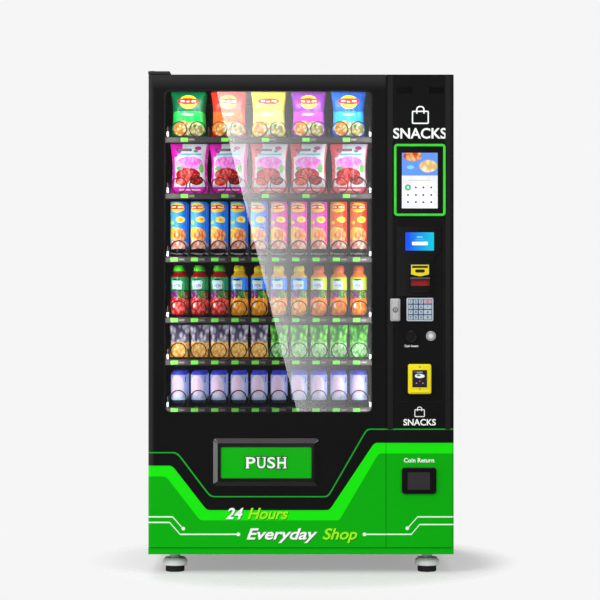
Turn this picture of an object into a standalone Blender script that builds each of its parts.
"""Glass-front vending machine: insulated cabinet, full-width hinged door, six spiral trays.

The machine stands on z = 0 with its front facing -Y and its height along +Z, in metres.
It is centred on the origin in X and Y.
"""

import math

import bmesh
import bpy
from mathutils import Matrix, Vector

# Overall envelope
HALF_WIDTH = 0.593
FRONT_FACE = -0.4205
REAR_FACE = 0.4425
BODY_BOTTOM = 0.0753
BODY_TOP = 1.940
GAP = 0.0003

# Cabinet
CABINET_FRONT = -0.362
PLINTH_FRONT = -0.4155
PLINTH_TOP = 0.1003
INSULATION = 0.043
BAY_SIDE_SHEET = 0.012
ROOF_UNDERSIDE = 1.900
BACK_INNER = 0.400
PARTITION_LEFT = 0.292
PARTITION_RIGHT = 0.332
DECK_TOP = 0.600
DECK_UNDERSIDE = 0.560
DECK_FRONT = -0.130
BULKHEAD_REAR = -0.105

# Door leaf
DOOR_REAR = -0.370
DOOR_BOTTOM = 0.1025
DOOR_TOP = 1.9375
HINGE_X = -0.578
HINGE_Y = -0.395
PIN_RADIUS = 0.006
PIN_HOLE_RADIUS = 0.0068
WINDOW = (-0.530, 0.278, 0.625, 1.877)
WINDOW_RADIUS = 0.022
FASCIA_LEFT = 0.3305
FASCIA_REAR = -0.4045
ON_FASCIA = FRONT_FACE - GAP

# Trays, from the top: underside of the price rail, height over the floor of the lane dividers, lanes
TRAYS = (
    (1.6848, 0.045, 5),
    (1.4626, 0.045, 5),
    (1.2118, 0.045, 10),
    (0.9723, 0.045, 10),
    (0.8051, 0.045, 10),
    (0.6165, 0.045, 10),
)
SHELF_CENTRE = -0.128
LANES_WIDTH = 0.800
TRAY_FRONT = -0.262
TRAY_REAR = 0.300
RAIL_FRONT = -0.270
RAIL_HEIGHT = 0.022
FLOOR_RISE = 0.018
SHEET = 0.0015
MOTOR_FRONT = 0.290
MOTOR_REAR = 0.372
MOTOR_HEIGHT = 0.078

# Dispensing spirals
WIRE_RADIUS = 0.0022
SPIRAL_RADIUS = 0.0315
SPIRAL_PITCH = 0.075
SPIRAL_FRONT = -0.2555
SPIRAL_TURNS = 7
SPIRAL_STEPS = 14
PAIR_OFFSET = 0.0375

# Delivery flap, bezel and bin
FLAP = (-0.3106, 0.0402, 0.3721, 0.4922)
FLAP_FRONT = -0.4295
FLAP_REAR = -0.4255
FLAP_PIVOT = (-0.4275, 0.4905)
BIN_X = (-0.500, 0.240)
BIN_Z = (0.300, 0.556)
BIN_REAR = -0.150
BIN_WALL = 0.0025
GUARD_PIVOT = (-0.1585, 0.548)

# Payment and control devices, each as left, right, bottom, top
TOUCH = (0.3606, 0.5605, 1.3883, 1.6680)
KEYPAD = (0.4091, 0.5131, 0.9805, 1.0709)
KEY_COLUMNS = ((0.4247, 0.0160), (0.4449, 0.0160), (0.4651, 0.0160), (0.4910, 0.0300))
KEY_ROWS = (1.0565, 1.0362, 1.0159, 0.9956)
KEY_HEIGHT = 0.0160
KEY_CLEARANCE = 0.0006
READER = (0.4146, 0.5046, 0.6984, 0.8144)
RETURN_BEZEL = (0.3909, 0.5248, 0.3104, 0.4136)
RETURN_FLAP = (0.4126, 0.5008, 0.3268, 0.3956)
RETURN_PIVOT = (-0.4250, 0.3935)
LOCK_PLATE = (0.3459, 0.3847, 0.9805, 1.0682)
LOCK_CENTRE = (0.3653, 1.0244)
HANDLE_PIVOT = (-0.4381, 1.0600)
COIN_CENTRE = (0.4274, 0.9203)
BUTTON_CENTRE = (0.5039, 0.9230)

# Condensing unit
FAN_CENTRE = (0.000, 0.275)
FAN_RADIUS = 0.118
FAN_FRONT = 0.152

# Levelling feet
FOOT_X = 0.494
FOOT_Y = (-0.330, 0.360)

for leftover in list(bpy.data.objects):
    bpy.data.objects.remove(leftover)

machine = bpy.data.collections.new("vending_machine")
cutters = bpy.data.collections.new("cutters")
bpy.context.scene.collection.children.link(machine)
bpy.context.scene.collection.children.link(cutters)


def material(name, colour, metallic, roughness):
    made = bpy.data.materials.new(name)
    made.use_nodes = True
    shader = made.node_tree.nodes["Principled BSDF"]
    shader.inputs["Base Color"].default_value = (*colour, 1)
    shader.inputs["Metallic"].default_value = metallic
    shader.inputs["Roughness"].default_value = roughness
    return made


BLACK_STEEL = material("black_powder_coat", (0.012, 0.012, 0.013), 0.0, 0.45)
GREY_STEEL = material("grey_powder_coat", (0.30, 0.31, 0.32), 0.0, 0.5)
ZINC = material("zinc_plated_steel", (0.62, 0.63, 0.65), 1.0, 0.38)
SPRING_STEEL = material("spring_steel", (0.10, 0.10, 0.11), 1.0, 0.35)
GLASS = material("clear_glass", (0.80, 0.88, 0.86), 0.0, 0.05)
BLACK_PLASTIC = material("black_plastic", (0.015, 0.015, 0.016), 0.0, 0.35)
GREEN_PLASTIC = material("green_plastic", (0.02, 0.50, 0.02), 0.0, 0.3)
YELLOW_PLASTIC = material("yellow_plastic", (0.85, 0.60, 0.02), 0.0, 0.4)
KEY_METAL = material("key_metal", (0.70, 0.74, 0.80), 1.0, 0.3)
CHROME = material("chrome", (0.85, 0.85, 0.86), 1.0, 0.12)
WHITE_NYLON = material("white_nylon", (0.80, 0.80, 0.80), 0.0, 0.45)
LOUVRE_BLACK = material("compressor_enamel", (0.02, 0.02, 0.02), 0.0, 0.4)


def new_object(name, mesh, kept, look=None):
    """Links a mesh as an object, in the machine's collection or among the hidden cutters."""
    thing = bpy.data.objects.new(name, mesh)
    if kept:
        machine.objects.link(thing)
    else:
        cutters.objects.link(thing)
        thing.hide_render = True
        thing.display_type = "WIRE"
    if look:
        mesh.materials.append(look)
    return thing


def mesh_of(name, bm):
    bmesh.ops.recalc_face_normals(bm, faces=bm.faces)
    mesh = bpy.data.meshes.new(name)
    bm.to_mesh(mesh)
    bm.free()
    return mesh


def add_box(bm, x, y, z):
    """A box between the two ends given for each axis."""
    made = bmesh.ops.create_cube(bm, size=1.0)
    for vert in made["verts"]:
        vert.co.x = x[0] if vert.co.x < 0 else x[1]
        vert.co.y = y[0] if vert.co.y < 0 else y[1]
        vert.co.z = z[0] if vert.co.z < 0 else z[1]


def box(name, x, y, z, look=None, kept=True):
    bm = bmesh.new()
    add_box(bm, x, y, z)
    return new_object(name, mesh_of(name, bm), kept, look)


def boxes(name, limits):
    """Several separate boxes as one cutter."""
    bm = bmesh.new()
    for x, y, z in limits:
        add_box(bm, x, y, z)
    return new_object(name, mesh_of(name, bm), False)


def add_loft(bm, rings):
    """A closed solid through rings of points, one face at each end."""
    rows = [[bm.verts.new(point) for point in ring] for ring in rings]
    for near, far in zip(rows, rows[1:]):
        count = len(near)
        for i in range(count):
            j = (i + 1) % count
            bm.faces.new((near[i], near[j], far[j], far[i]))
    bm.faces.new(rows[0])
    bm.faces.new(rows[-1])


def rounded_outline(x, z, radius, steps):
    """Corner points of a rounded rectangle, going round it once."""
    radius = max(radius, 0.0001)
    outline = []
    corners = ((x[1], z[1], 0), (x[0], z[1], 90), (x[0], z[0], 180), (x[1], z[0], 270))
    for corner_x, corner_z, start in corners:
        centre_x = corner_x - radius if corner_x == x[1] else corner_x + radius
        centre_z = corner_z - radius if corner_z == z[1] else corner_z + radius
        for step in range(steps + 1):
            angle = math.radians(start + 90 * step / steps)
            outline.append(
                (centre_x + radius * math.cos(angle), centre_z + radius * math.sin(angle))
            )
    return outline


def add_plate(bm, x, z, radius, sections, steps=4):
    """A rounded plate facing Y. Each section is its Y and how far its outline is drawn in."""
    rings = []
    for y, inset in sections:
        outline = rounded_outline(
            (x[0] + inset, x[1] - inset), (z[0] + inset, z[1] - inset), radius - inset / 2, steps
        )
        rings.append([(px, y, pz) for px, pz in outline])
    add_loft(bm, rings)


def plate(name, limits, radius, sections, look=None, kept=True, steps=4):
    bm = bmesh.new()
    add_plate(bm, limits[:2], limits[2:], radius, sections, steps)
    return new_object(name, mesh_of(name, bm), kept, look)


def add_round(bm, axis, centre, sections, sides):
    """A turned solid on an axis along Y or Z. Each section is its place on the axis and its radius."""
    rings = []
    for place, radius in sections:
        ring = []
        for side in range(sides):
            angle = 2 * math.pi * side / sides
            across = centre[0] + radius * math.cos(angle)
            other = centre[1] + radius * math.sin(angle)
            ring.append((across, place, other) if axis == "Y" else (across, other, place))
        rings.append(ring)
    add_loft(bm, rings)


def turned(name, axis, centre, sections, look=None, kept=True, sides=24):
    bm = bmesh.new()
    add_round(bm, axis, centre, sections, sides)
    return new_object(name, mesh_of(name, bm), kept, look)


def boolean(target, tool, operation):
    """Applies one exact Boolean and leaves the result as the target's own mesh."""
    modifier = target.modifiers.new(operation.lower(), "BOOLEAN")
    modifier.operation = operation
    modifier.solver = "EXACT"
    modifier.object = tool
    bpy.context.view_layer.update()
    graph = bpy.context.evaluated_depsgraph_get()
    result = bpy.data.meshes.new_from_object(target.evaluated_get(graph))
    target.modifiers.clear()
    result.name = target.name
    target.data = result


def cut(target, tool):
    boolean(target, tool, "DIFFERENCE")


def weld(target, *tools):
    for tool in tools:
        boolean(target, tool, "UNION")


def base_frame():
    """Folded steel base with the lower hinge pin standing on its front left corner."""
    frame = box(
        "base_frame",
        (-HALF_WIDTH, HALF_WIDTH),
        (PLINTH_FRONT, REAR_FACE),
        (BODY_BOTTOM, PLINTH_TOP),
        GREY_STEEL,
    )
    pin_top = PLINTH_TOP + 0.0180
    pin_foot = PLINTH_TOP - 0.0100
    pin_sections = ((pin_foot, PIN_RADIUS), (pin_top, PIN_RADIUS))
    pin = turned("base_pin", "Z", (HINGE_X, HINGE_Y), pin_sections, None, False, 16)
    weld(frame, pin)


def cabinet_shell():
    """Insulated side, roof, back and dividing panels round the cooled compartment."""
    wall_z = (PLINTH_TOP + GAP, BODY_TOP - GAP)
    depth = (CABINET_FRONT, REAR_FACE)
    left = (-HALF_WIDTH, -HALF_WIDTH + INSULATION)
    right = (HALF_WIDTH - BAY_SIDE_SHEET, HALF_WIDTH)
    box("side_panel_left", left, depth, wall_z, BLACK_STEEL)
    box("side_panel_right", right, depth, wall_z, BLACK_STEEL)
    between = (left[1] + GAP, right[0] - GAP)
    box("roof_panel", between, depth, (ROOF_UNDERSIDE, BODY_TOP), BLACK_STEEL)
    inner_z = (PLINTH_TOP + GAP, ROOF_UNDERSIDE - GAP)
    back_panel(between, inner_z)
    partition_x = (PARTITION_LEFT, PARTITION_RIGHT)
    box("partition_wall", partition_x, (CABINET_FRONT, BACK_INNER - GAP), inner_z, GREY_STEEL)
    insulated_deck((between[0], PARTITION_LEFT - GAP))


def back_panel(x, z):
    """Back wall with louvre slots for the condenser air and a recessed power inlet."""
    slot_count = 9
    slot_pitch = 0.034
    first_slot = 0.150
    slot_height = 0.012
    slot_x = (-0.200, 0.200)
    inlet_x = (0.400, 0.440)
    inlet_z = (0.160, 0.190)
    through = (BACK_INNER - 0.010, REAR_FACE + 0.010)
    panel = box("back_panel", x, (BACK_INNER, REAR_FACE), z, BLACK_STEEL)
    openings = []
    for index in range(slot_count):
        bottom = first_slot + index * slot_pitch
        openings.append((slot_x, through, (bottom, bottom + slot_height)))
    openings.append((inlet_x, (REAR_FACE - 0.022, REAR_FACE + 0.010), inlet_z))
    cut(panel, boxes("back_openings", openings))


def insulated_deck(x):
    """Insulated floor of the cooled compartment and the bulkhead under its front edge."""
    foot = PLINTH_TOP + GAP
    rear = BACK_INNER - GAP
    outline = (
        (DECK_FRONT, foot),
        (BULKHEAD_REAR, foot),
        (BULKHEAD_REAR, DECK_UNDERSIDE),
        (rear, DECK_UNDERSIDE),
        (rear, DECK_TOP),
        (DECK_FRONT, DECK_TOP),
    )
    bm = bmesh.new()
    add_loft(bm, [[(end, y, z) for y, z in outline] for end in x])
    new_object("insulated_deck", mesh_of("insulated_deck", bm), True, GREY_STEEL)


def tray(number, rail_bottom, divider_height, lanes):
    """Steel shelf with lane dividers, the price rail across its front and the motor rail at its back."""
    name = f"tray_{number}"
    x = (-HALF_WIDTH + INSULATION + 2 * GAP, PARTITION_LEFT - 2 * GAP)
    under = rail_bottom + FLOOR_RISE
    floor = under + SHEET
    top = floor + divider_height
    lane = LANES_WIDTH / lanes
    outline = [(x[0], under), (x[1], under), (x[1], floor)]
    for index in range(lanes, -1, -1):
        middle = SHELF_CENTRE - LANES_WIDTH / 2 + index * lane
        near = middle + SHEET / 2
        far = middle - SHEET / 2
        outline += [(near, floor), (near, top), (far, top), (far, floor)]
    outline.append((x[0], floor))
    bm = bmesh.new()
    add_loft(bm, [[(px, y, pz) for px, pz in outline] for y in (TRAY_FRONT - GAP, TRAY_REAR)])
    shelf = new_object(name, mesh_of(name, bm), True, ZINC)
    rail_z = (rail_bottom, rail_bottom + RAIL_HEIGHT)
    rail = box(name + "_rail", x, (RAIL_FRONT, TRAY_FRONT), rail_z, None, False)
    motor_z = (under - GAP, floor + MOTOR_HEIGHT)
    motor = box(name + "_motor", x, (MOTOR_FRONT, MOTOR_REAR), motor_z, None, False)
    weld(shelf, rail, motor)


def spiral(number, rail_bottom, centre_x):
    """Round-wire dispensing spiral, turned by the motor at the back of its lane."""
    name = f"spiral_{number}"
    centre_z = rail_bottom + FLOOR_RISE + SHEET + SPIRAL_RADIUS + 2 * WIRE_RADIUS
    steps = SPIRAL_TURNS * SPIRAL_STEPS
    points = []
    for step in range(steps + 1):
        turn = 2 * math.pi * step / SPIRAL_STEPS - math.pi / 2
        along = SPIRAL_FRONT + SPIRAL_PITCH * step / SPIRAL_STEPS
        points.append((SPIRAL_RADIUS * math.cos(turn), along, SPIRAL_RADIUS * math.sin(turn)))
    drive = points[-1][1]
    points.append((0, drive + 0.004, -0.010))
    points.append((0, drive + 0.006, 0))
    points.append((0, MOTOR_FRONT - 4 * GAP, 0))
    path = bpy.data.curves.new(name, "CURVE")
    path.dimensions = "3D"
    line = path.splines.new("POLY")
    line.points.add(len(points) - 1)
    for point, place in zip(line.points, points):
        point.co = (*place, 1)
    path.bevel_depth = WIRE_RADIUS
    path.bevel_resolution = 0
    path.use_fill_caps = True
    path.materials.append(SPRING_STEEL)
    wire = bpy.data.objects.new(name, path)
    machine.objects.link(wire)
    wire.location = (centre_x, 0, centre_z)


def trays_and_spirals():
    for number, (rail_bottom, divider_height, lanes) in enumerate(TRAYS, start=1):
        tray(number, rail_bottom, divider_height, lanes)
        first_lane = SHELF_CENTRE - LANES_WIDTH / 2 + LANES_WIDTH / lanes / 2
        beside = PAIR_OFFSET if lanes == 5 else 0
        spiral(number, rail_bottom, first_lane - beside)


def condensing_unit():
    """Compressor and condenser on one sheet-steel slide-in base, with the fan in its shroud."""
    deck_z = (PLINTH_TOP + GAP, 0.112)
    unit = box("condensing_unit", (-0.500, 0.250), (-0.090, 0.360), deck_z, LOUVRE_BLACK)
    compressor_centre = (-0.340, 0.140)
    shell = ((0.105, 0.080), (0.250, 0.080), (0.285, 0.065), (0.305, 0.035))
    compressor = turned("compressor_shell", "Z", compressor_centre, shell, None, False, 20)
    coil_block = box("coil_block", (-0.160, 0.160), (0.060, 0.200), (0.108, 0.435), None, False)
    weld(unit, compressor, coil_block)
    shroud = ((FAN_FRONT - 0.004, FAN_RADIUS + 0.008), (0.220, FAN_RADIUS + 0.008))
    cut(unit, turned("fan_shroud", "Y", FAN_CENTRE, shroud, None, False, 28))


def condenser_fan():
    """Five-blade moulded fan on the condenser's motor."""
    blades = 5
    hub_radius = 0.034
    blade_root = 0.028
    half_chord = 0.026
    half_thickness = 0.0016
    pitch_angle = math.radians(28)
    depth = (FAN_FRONT, FAN_FRONT + 0.030)
    middle = (depth[0] + depth[1]) / 2
    hub_sections = ((depth[0], hub_radius), (depth[1], hub_radius - 0.004))
    fan = turned("condenser_fan", "Y", FAN_CENTRE, hub_sections, BLACK_PLASTIC)
    for blade in range(blades):
        around = 2 * math.pi * blade / blades
        rings = []
        for reach in (blade_root, FAN_RADIUS):
            ring = []
            for chord, thick in ((-1, -1), (1, -1), (1, 1), (-1, 1)):
                across = chord * half_chord * math.cos(pitch_angle)
                across -= thick * half_thickness * math.sin(pitch_angle)
                along = chord * half_chord * math.sin(pitch_angle)
                along += thick * half_thickness * math.cos(pitch_angle)
                px = FAN_CENTRE[0] + reach * math.cos(around) - across * math.sin(around)
                pz = FAN_CENTRE[1] + reach * math.sin(around) + across * math.cos(around)
                ring.append((px, middle + along, pz))
            rings.append(ring)
        bm = bmesh.new()
        add_loft(bm, rings)
        name = f"fan_blade_{blade + 1}"
        weld(fan, new_object(name, mesh_of(name, bm), False))


def levelling_feet():
    """Screw feet: nylon flange and boss over a rubber pad."""
    profile = (
        (0, 0.0350),
        (0.003, 0.0370),
        (0.023, 0.0370),
        (0.025, 0.0480),
        (0.046, 0.0480),
        (0.055, 0.0400),
        (0.052, 0.0200),
        (BODY_BOTTOM - GAP, 0.0195),
    )
    number = 0
    for y in FOOT_Y:
        for x in (-FOOT_X, FOOT_X):
            number += 1
            turned(f"levelling_foot_{number}", "Z", (x, y), profile, WHITE_NYLON, True, 16)


def hinge_top():
    """Upper hinge plate bolted to the roof, with the pin that the door turns on."""
    outline = (-HALF_WIDTH, -0.510)
    bracket = box(
        "hinge_top", outline, (FRONT_FACE, -0.300), (BODY_TOP + GAP, BODY_TOP + 0.0103), GREY_STEEL
    )
    pin = ((BODY_TOP - 0.020, PIN_RADIUS), (BODY_TOP + 0.005, PIN_RADIUS))
    head = ((BODY_TOP + 0.005, 0.0135), (BODY_TOP + 0.0115, 0.0135), (BODY_TOP + 0.013, 0.0115))
    place = (HINGE_X, HINGE_Y)
    weld(bracket, turned("hinge_pin", "Z", place, pin, None, False, 16))
    weld(bracket, turned("hinge_bolt", "Z", place, head, None, False, 16))


def leaf_outline():
    """Plan of the door leaf: rounded front left edge, stepped back on the right for the fascia."""
    radius = 0.012
    steps = 4
    outline = [(-HALF_WIDTH, DOOR_REAR)]
    for step in range(steps + 1):
        angle = math.radians(180 + 90 * step / steps)
        px = -HALF_WIDTH + radius + radius * math.cos(angle)
        py = FRONT_FACE + radius + radius * math.sin(angle)
        outline.append((px, py))
    step_x = FASCIA_LEFT - 0.0015
    outline += [
        (step_x, FRONT_FACE),
        (step_x, FASCIA_REAR + GAP),
        (HALF_WIDTH, FASCIA_REAR + GAP),
        (HALF_WIDTH, DOOR_REAR),
    ]
    return outline


def door_frame():
    """Welded steel door leaf with the window, delivery and control openings."""
    bm = bmesh.new()
    outline = leaf_outline()
    add_loft(bm, [[(x, y, z) for x, y in outline] for z in (DOOR_BOTTOM, DOOR_TOP)])
    leaf = new_object("door_frame", mesh_of("door_frame", bm), True, BLACK_STEEL)
    through = ((FRONT_FACE - 0.020, 0), (DOOR_REAR + 0.020, 0))
    cut(leaf, plate("window_opening", WINDOW, WINDOW_RADIUS, through, None, False))
    margin = 0.0045
    delivery = (FLAP[0] - margin, FLAP[1] + margin, FLAP[2] - margin, FLAP[3] + margin)
    cut(leaf, plate("delivery_opening", delivery, 0.004, through, None, False, 1))
    bay_x = (0.345, 0.575)
    bay_y = (FRONT_FACE - 0.010, DOOR_REAR + 0.010)
    cut(leaf, box("bay_opening", bay_x, bay_y, (0.145, 1.900), None, False))
    pin_sockets(leaf)


def pin_sockets(leaf):
    """Bores for the hinge pins in the bottom and top edges of the leaf."""
    depth = 0.0200
    ends = (("lower", DOOR_BOTTOM - 0.010, DOOR_BOTTOM + depth),)
    ends += (("upper", DOOR_TOP - depth, DOOR_TOP + 0.010),)
    for name, low, high in ends:
        bore = ((low, PIN_HOLE_RADIUS), (high, PIN_HOLE_RADIUS))
        cut(leaf, turned(name + "_socket", "Z", (HINGE_X, HINGE_Y), bore, None, False, 16))


def window_glass():
    """Sealed double-glazed unit in the window opening."""
    limits = (WINDOW[0] + GAP, WINDOW[1] - GAP, WINDOW[2] + GAP, WINDOW[3] - GAP)
    sections = ((FRONT_FACE + 0.004, 0), (FRONT_FACE + 0.026, 0))
    plate("window_glass", limits, WINDOW_RADIUS, sections, GLASS)


def fascia_outline():
    """Plan of the control fascia, rounded along its outer front edge."""
    radius = 0.010
    steps = 4
    outline = [(HALF_WIDTH, FASCIA_REAR), (FASCIA_LEFT, FASCIA_REAR), (FASCIA_LEFT, FRONT_FACE)]
    for step in range(steps + 1):
        angle = math.radians(270 + 90 * step / steps)
        px = HALF_WIDTH - radius + radius * math.cos(angle)
        py = FRONT_FACE + radius + radius * math.sin(angle)
        outline.append((px, py))
    return outline


def control_fascia():
    """Moulded panel that carries the screen and the payment devices."""
    bm = bmesh.new()
    outline = fascia_outline()
    add_loft(bm, [[(x, y, z) for x, y in outline] for z in (DOOR_BOTTOM, DOOR_TOP)])
    panel = new_object("control_fascia", mesh_of("control_fascia", bm), True, BLACK_PLASTIC)
    through = (FRONT_FACE - 0.010, FASCIA_REAR + 0.010)
    shallow = (FRONT_FACE - 0.010, FRONT_FACE + 0.004)
    openings = [
        ((0.380, 0.541), through, (1.405, 1.651)),
        ((0.405, 0.515), through, (1.100, 1.335)),
        ((0.414, 0.508), through, (0.985, 1.0665)),
        ((0.417, 0.438), through, (0.905, 0.935)),
        ((0.439, 0.480), through, (0.730, 0.790)),
        ((0.398, 0.518), through, (0.318, 0.406)),
        ((0.371, 0.432), shallow, (1.864, 1.888)),
        ((0.496, 0.555), shallow, (1.864, 1.888)),
    ]
    cut(panel, boxes("fascia_openings", openings))
    button_pocket = ((FRONT_FACE - 0.010, 0.0158), (FRONT_FACE + 0.012, 0.0158))
    cut(panel, turned("button_pocket", "Y", BUTTON_CENTRE, button_pocket, None, False))
    lock_bore = ((FRONT_FACE - 0.010, 0.0125), (FASCIA_REAR + 0.010, 0.0125))
    cut(panel, turned("lock_bore", "Y", LOCK_CENTRE, lock_bore, None, False))


def device_body(name, x, z, rear):
    """The part of a device that passes back through the fascia."""
    return box(name, x, (ON_FASCIA - 0.0010, rear), z, None, False)


def touch_screen():
    """Portrait touch screen with its controller housing behind."""
    front = ((ON_FASCIA, 0), (ON_FASCIA - 0.0035, 0), (ON_FASCIA - 0.0047, 0.0012))
    screen = plate("touch_screen", TOUCH, 0.012, front, BLACK_PLASTIC)
    weld(screen, device_body("touch_body", (0.3805, 0.5405), (1.4055, 1.6505), -0.375))


def bill_acceptor():
    """Banknote acceptor: shaped bezel, raised mouth with its slot, and the stacker behind."""
    top = 1.3467
    shoulder = 1.2575
    waist = 1.214
    bottom = 1.078
    outline = (
        (0.3700, top),
        (0.3700, bottom),
        (0.5080, bottom),
        (0.5080, waist),
        (0.5430, shoulder),
        (0.5430, top),
    )
    bm = bmesh.new()
    add_loft(bm, [[(x, y, z) for x, z in outline] for y in (ON_FASCIA, ON_FASCIA - 0.0037)])
    acceptor = new_object("bill_acceptor", mesh_of("bill_acceptor", bm), True, BLACK_PLASTIC)
    mouth = (0.4188, 0.5042, 1.0935, 1.2009)
    mouth_sections = ((ON_FASCIA - 0.001, 0), (ON_FASCIA - 0.014, 0), (ON_FASCIA - 0.019, 0.005))
    weld(acceptor, plate("bill_mouth", mouth, 0.008, mouth_sections, None, False, 2))
    weld(acceptor, device_body("bill_stacker", (0.4055, 0.5145), (1.1005, 1.3345), -0.240))
    slot = box("bill_slot", (0.4250, 0.4980), (-0.450, -0.4245), (1.1170, 1.1403), None, False)
    cut(acceptor, slot)


def keypad():
    """Metal keypad: a plate with a pocket for each key, and sixteen keys that press in."""
    front = ON_FASCIA - 0.0057
    pocket_floor = front + 0.0100
    sections = ((ON_FASCIA, 0), (front + 0.001, 0), (front, 0.001))
    housing = plate("keypad_housing", KEYPAD, 0.006, sections, ZINC, True, 2)
    weld(housing, device_body("keypad_body", (0.4145, 0.5075), (0.9855, 1.0660), -0.385))
    pockets = []
    for centre_z in KEY_ROWS:
        for centre_x, width in KEY_COLUMNS:
            half_x = width / 2 + KEY_CLEARANCE
            half_z = KEY_HEIGHT / 2 + KEY_CLEARANCE
            x = (centre_x - half_x, centre_x + half_x)
            pockets.append((x, (front - 0.010, pocket_floor), (centre_z - half_z, centre_z + half_z)))
    cut(housing, boxes("key_pockets", pockets))
    number = 0
    for centre_z in KEY_ROWS:
        for centre_x, width in KEY_COLUMNS:
            number += 1
            key(number, centre_x, centre_z, width, front)


def key(number, centre_x, centre_z, width, plate_front):
    limits = (
        centre_x - width / 2,
        centre_x + width / 2,
        centre_z - KEY_HEIGHT / 2,
        centre_z + KEY_HEIGHT / 2,
    )
    sections = ((plate_front + 0.0075, 0), (plate_front - 0.0012, 0), (plate_front - 0.0020, 0.0008))
    plate(f"key_{number:02d}", limits, 0.002, sections, KEY_METAL, True, 1)


def coin_insert():
    """Round coin mouth with an upright slot and the throat behind it."""
    face = ((ON_FASCIA, 0.0230), (ON_FASCIA - 0.006, 0.0230), (ON_FASCIA - 0.0077, 0.0210))
    mouth = turned("coin_insert", "Y", COIN_CENTRE, face, BLACK_PLASTIC)
    weld(mouth, device_body("coin_throat", (0.4175, 0.4375), (0.9055, 0.9345), -0.385))
    slot_x = (COIN_CENTRE[0] - 0.0016, COIN_CENTRE[0] + 0.0016)
    slot_z = (COIN_CENTRE[1] - 0.0130, COIN_CENTRE[1] + 0.0130)
    cut(mouth, box("coin_slot", slot_x, (-0.440, -0.400), slot_z, None, False))


def reject_button():
    """Round push button that releases the inserted coins."""
    sections = ((-0.4130, 0.0150), (-0.4245, 0.0150), (-0.4257, 0.0138))
    turned("reject_button", "Y", BUTTON_CENTRE, sections, CHROME, True, 20)


def card_reader():
    """Contactless reader that stands proud of the fascia, with its cable neck behind."""
    sections = ((ON_FASCIA, 0), (-0.4370, 0.001), (-0.4425, 0.006))
    reader = plate("card_reader", READER, 0.010, sections, YELLOW_PLASTIC)
    weld(reader, device_body("reader_neck", (0.4400, 0.4790), (0.7305, 0.7895), -0.385))


def lock():
    """Swing-handle lock: fixed plate, spindle with its cam, and the handle that lifts out."""
    sections = ((ON_FASCIA, 0), (-0.4235, 0), (-0.4245, 0.001))
    fixed = plate("lock_plate", LOCK_PLATE, 0.006, sections, CHROME)
    bore = ((-0.440, 0.0125), (-0.410, 0.0125))
    cut(fixed, turned("plate_bore", "Y", LOCK_CENTRE, bore, None, False))
    barrel = ((-0.4300, 0.0112), (-0.346, 0.0112))
    spindle = turned("lock_spindle", "Y", LOCK_CENTRE, barrel, ZINC)
    yoke_x = (LOCK_CENTRE[0] - 0.009, LOCK_CENTRE[0] + 0.009)
    yoke_z = (LOCK_CENTRE[1] - 0.012, HANDLE_PIVOT[1] + 0.004)
    weld(spindle, box("lock_yoke", yoke_x, (-0.4322, -0.4255), yoke_z, None, False))
    cam_x = (LOCK_CENTRE[0] - 0.009, LOCK_CENTRE[0] + 0.009)
    cam_z = (LOCK_CENTRE[1] - 0.009, LOCK_CENTRE[1] + 0.045)
    weld(spindle, box("lock_cam", cam_x, (-0.352, -0.344), cam_z, None, False))
    lock_handle()


def lock_handle():
    """The bar in front of the yoke, on a cross pin near its top."""
    limits = (
        LOCK_CENTRE[0] - 0.012,
        LOCK_CENTRE[0] + 0.012,
        LOCK_CENTRE[1] - 0.039,
        HANDLE_PIVOT[1] + 0.003,
    )
    sections = ((-0.4337, 0), (-0.4410, 0), (-0.4425, 0.0015))
    plate("lock_handle", limits, 0.005, sections, CHROME, True, 3)


def coin_return():
    """Coin cup moulded with its bezel, and the flap in front of the cup."""
    sections = ((ON_FASCIA, 0), (-0.4255, 0), (-0.4285, 0.003))
    cup = plate("coin_return_cup", RETURN_BEZEL, 0.012, sections, BLACK_PLASTIC)
    weld(cup, device_body("cup_body", (0.3985, 0.5175), (0.3185, 0.4055), -0.350))
    clear = 0.0008
    hollow = (
        RETURN_FLAP[0] - clear,
        RETURN_FLAP[1] + clear,
        RETURN_FLAP[2] - clear,
        RETURN_FLAP[3] + clear,
    )
    depth = ((-0.440, 0), (-0.3540, 0))
    cut(cup, plate("cup_hollow", hollow, 0.002, depth, None, False, 1))
    flap_sections = ((-0.4235, 0), (-0.4265, 0))
    plate("coin_return_flap", RETURN_FLAP, 0.002, flap_sections, BLACK_PLASTIC, True, 1)


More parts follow.
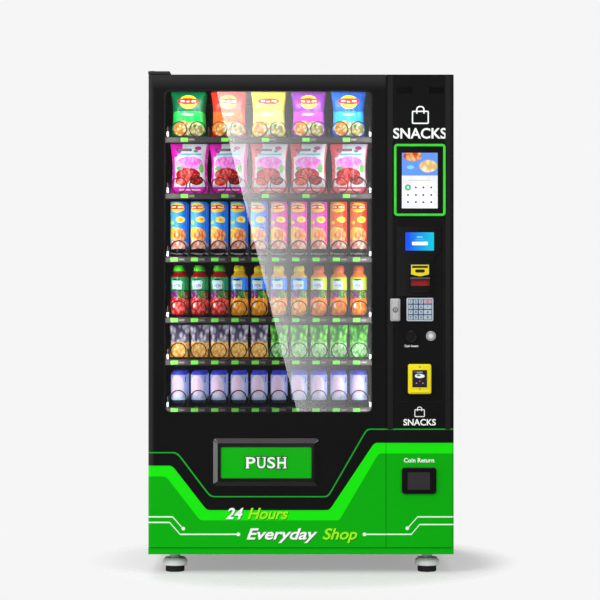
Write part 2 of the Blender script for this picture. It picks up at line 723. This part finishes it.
def delivery():
    """Delivery bezel and flap on the front of the door, bin and anti-theft flap behind it."""
    outer = (-0.3413, 0.0681, 0.3400, 0.5257)
    sections = ((ON_FASCIA, 0), (-0.4222, 0), (-0.4325, 0.0180))
    bezel = plate("delivery_bezel", outer, 0.010, sections, BLACK_PLASTIC, True, 2)
    clear = 0.0005
    top_clear = 0.0018
    opening = (FLAP[0] - clear, FLAP[1] + clear, FLAP[2] - clear, FLAP[3] + top_clear)
    through = ((-0.440, 0), (-0.410, 0))
    cut(bezel, plate("bezel_opening", opening, 0.0015, through, None, False, 1))
    flap_sections = ((FLAP_REAR, 0), (FLAP_FRONT, 0))
    plate("delivery_flap", FLAP, 0.004, flap_sections, GREEN_PLASTIC, True, 1)
    tub = box("delivery_bin", BIN_X, (DOOR_REAR + GAP, BIN_REAR), BIN_Z, ZINC)
    hollow_x = (BIN_X[0] + BIN_WALL, BIN_X[1] - BIN_WALL)
    hollow_y = (DOOR_REAR - 0.020, BIN_REAR - BIN_WALL)
    hollow_z = (BIN_Z[0] + BIN_WALL, BIN_Z[1] + 0.020)
    cut(tub, box("bin_hollow", hollow_x, hollow_y, hollow_z, None, False))
    guard_x = (BIN_X[0] + 0.005, BIN_X[1] - 0.005)
    guard_y = (GUARD_PIVOT[0] - 0.0015, GUARD_PIVOT[0] + 0.0015)
    box("anti_theft_flap", guard_x, guard_y, (0.352, GUARD_PIVOT[1] + 0.002), ZINC)


def origin_on_axis(name, place):
    """Brings a moving piece's origin onto its joint's axis and leaves the piece where it is."""
    thing = machine.objects[name]
    thing.data.transform(Matrix.Translation(-Vector(place)))
    thing.location = place


def moving_origins():
    """Origins of the pieces that turn or slide by themselves."""
    flap_middle = (FLAP[0] + FLAP[1]) / 2
    origin_on_axis("delivery_flap", (flap_middle, *FLAP_PIVOT))
    origin_on_axis("anti_theft_flap", ((BIN_X[0] + BIN_X[1]) / 2, *GUARD_PIVOT))
    origin_on_axis("coin_return_flap", ((RETURN_FLAP[0] + RETURN_FLAP[1]) / 2, *RETURN_PIVOT))
    origin_on_axis("lock_spindle", (LOCK_CENTRE[0], FRONT_FACE, LOCK_CENTRE[1]))
    origin_on_axis("lock_handle", (LOCK_CENTRE[0], *HANDLE_PIVOT))
    origin_on_axis("reject_button", (BUTTON_CENTRE[0], FRONT_FACE, BUTTON_CENTRE[1]))
    origin_on_axis("condenser_fan", (FAN_CENTRE[0], FAN_FRONT, FAN_CENTRE[1]))
    number = 0
    for centre_z in KEY_ROWS:
        for centre_x, width in KEY_COLUMNS:
            number += 1
            origin_on_axis(f"key_{number:02d}", (centre_x, FRONT_FACE, centre_z))


def door_on_hinge():
    """Everything that swings with the door hangs from one empty on the hinge axis."""
    hinge = bpy.data.objects.new("door_hinge", None)
    hinge.location = (HINGE_X, HINGE_Y, DOOR_BOTTOM)
    machine.objects.link(hinge)
    on_door = [
        "door_frame",
        "window_glass",
        "control_fascia",
        "touch_screen",
        "bill_acceptor",
        "keypad_housing",
        "coin_insert",
        "reject_button",
        "card_reader",
        "lock_plate",
        "lock_spindle",
        "lock_handle",
        "coin_return_cup",
        "coin_return_flap",
        "delivery_bezel",
        "delivery_flap",
        "delivery_bin",
        "anti_theft_flap",
    ]
    keys = len(KEY_ROWS) * len(KEY_COLUMNS)
    on_door += [f"key_{number:02d}" for number in range(1, keys + 1)]
    for name in on_door:
        thing = machine.objects[name]
        thing.parent = hinge
        thing.matrix_parent_inverse = Matrix.Translation(-hinge.location)


base_frame()
cabinet_shell()
trays_and_spirals()
condensing_unit()
condenser_fan()
levelling_feet()
hinge_top()
door_frame()
window_glass()
control_fascia()
touch_screen()
bill_acceptor()
keypad()
coin_insert()
reject_button()
card_reader()
lock()
coin_return()
delivery()
moving_origins()
door_on_hinge()
